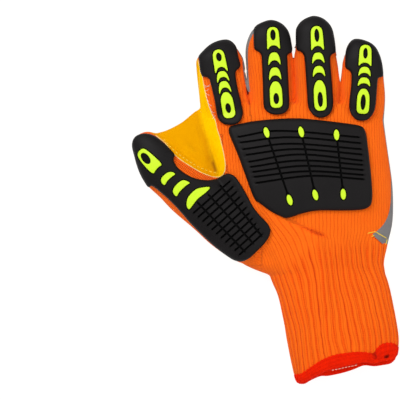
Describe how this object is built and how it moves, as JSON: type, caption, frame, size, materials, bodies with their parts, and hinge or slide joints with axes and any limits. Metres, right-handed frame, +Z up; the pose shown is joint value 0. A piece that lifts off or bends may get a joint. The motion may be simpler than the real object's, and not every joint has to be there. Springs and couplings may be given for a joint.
{
  "type": "anti-vibration glove",
  "caption": "Knitted work glove with leather palm, ribbed cuff and moulded impact pads on the back of the hand, fingers and thumb, lying palm down",
  "frame": {"origin": "middle of the glove's footprint on the surface that it lies on, palm down", "axes": "+Y towards the fingertips, +Z up out of the back of the hand, -X towards the thumb"},
  "size_m": [0.1862, 0.2538, 0.0322],
  "materials": {
    "knit": "bright orange rib knit",
    "hem": "red overlocked hem",
    "leather": "golden yellow grain leather",
    "strip": "grey cloth strip",
    "pad": "black moulded rubber, satin",
    "insert": "yellow-green moulded rubber"
  },
  "bodies": {
    "root": {"knit_back": "knit", "knit_cuff": "knit", "cuff_hem": "hem", "leather_palm": "leather", "leather_thumb": "leather", "fourchette_index_middle": "strip", "fourchette_middle_ring": "strip", "fourchette_ring_little": "strip", "side_strip": "strip", "index_pad": "pad", "middle_pad": "pad", "ring_pad": "pad", "little_pad": "pad", "thumb_pad": "pad", "back_pad": "pad", "index_tip_ring": "insert", "index_upper_chevron": "insert", "index_lower_chevron": "insert", "index_base_ring": "insert", "middle_tip_ring": "insert", "middle_upper_chevron": "insert", "middle_lower_chevron": "insert", "middle_base_ring": "insert", "ring_tip_ring": "insert", "ring_upper_chevron": "insert", "ring_lower_chevron": "insert", "ring_base_ring": "insert", "little_tip_ring": "insert", "little_upper_chevron": "insert", "little_lower_chevron": "insert", "little_base_ring": "insert", "thumb_tip_ring": "insert", "thumb_upper_bar": "insert", "thumb_lower_bar": "insert", "thumb_base_block": "insert", "back_upper_left_stud": "insert", "back_upper_middle_stud": "insert", "back_upper_right_stud": "insert", "back_lower_left_stud": "insert", "back_lower_middle_stud": "insert", "back_lower_right_stud": "insert"}
  },
  "joints": []
}
